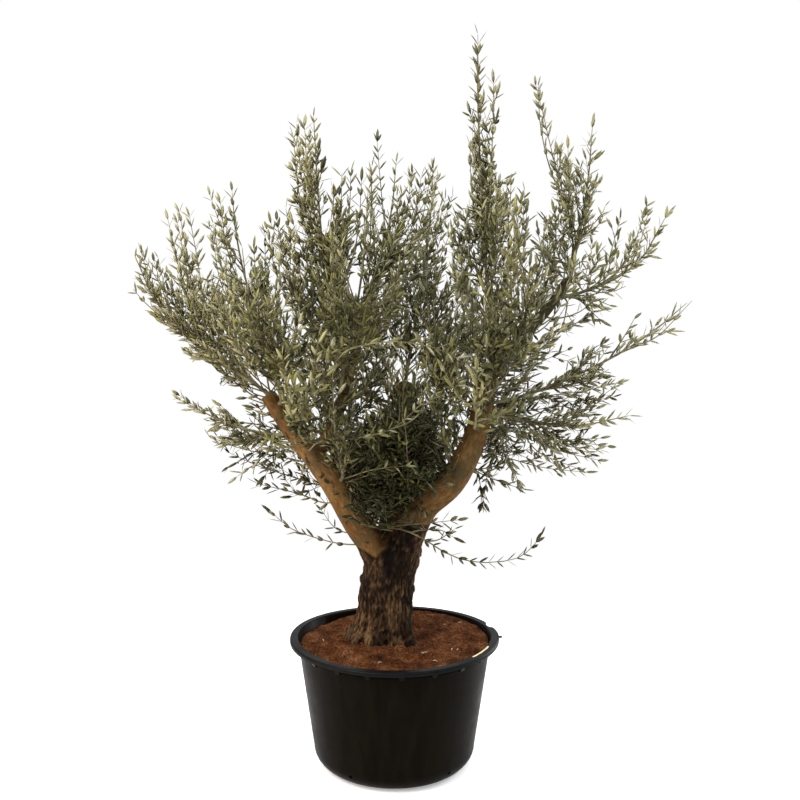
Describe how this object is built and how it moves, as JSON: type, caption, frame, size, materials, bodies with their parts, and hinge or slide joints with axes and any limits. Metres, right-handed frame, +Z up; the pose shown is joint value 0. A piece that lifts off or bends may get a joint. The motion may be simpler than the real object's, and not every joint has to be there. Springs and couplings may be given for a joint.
{
  "type": "potted olive tree",
  "caption": "Low-forked olive tree with sawn boughs and open leafy crown, standing in a wide black nursery pot filled with soil; stands on the pot's flat underside.",
  "frame": {"origin": "centre of the pot's flat underside", "axes": "+Z up along the pot's axis, -Y towards the front, +X to the right as seen from the front"},
  "size_m": [1.9777, 1.6162, 2.6399],
  "materials": {
    "pot_plastic": "black, slightly glossy, scuffed",
    "soil": "loose, reddish brown, matte",
    "bark": "rough, fluted bark, brown",
    "foliage": "olive green leaves with grey undersides"
  },
  "bodies": {
    "root": {"pot": "pot_plastic", "soil": "soil", "trunk": "bark", "bough_left": "bark", "bough_right": "bark", "bough_rear": "bark", "limb_right_upper": "bark", "limb_centre": "bark", "foliage_left_low": "foliage", "foliage_left_outer": "foliage", "foliage_left_top": "foliage", "foliage_left_front": "foliage", "foliage_left_back": "foliage", "foliage_left_under": "foliage", "foliage_centre_left_top": "foliage", "foliage_centre_top": "foliage", "foliage_centre_front": "foliage", "foliage_centre_low": "foliage", "foliage_centre_left": "foliage", "foliage_centre_right": "foliage", "foliage_front_left": "foliage", "foliage_front_right": "foliage", "foliage_right_peak": "foliage", "foliage_right_top": "foliage", "foliage_right_outer": "foliage", "foliage_right_far": "foliage", "foliage_right_low": "foliage", "foliage_right_front": "foliage", "foliage_fork_front": "foliage", "foliage_back_left": "foliage", "foliage_back_right": "foliage", "foliage_back_low": "foliage", "foliage_back_top": "foliage"}
  },
  "joints": []
}
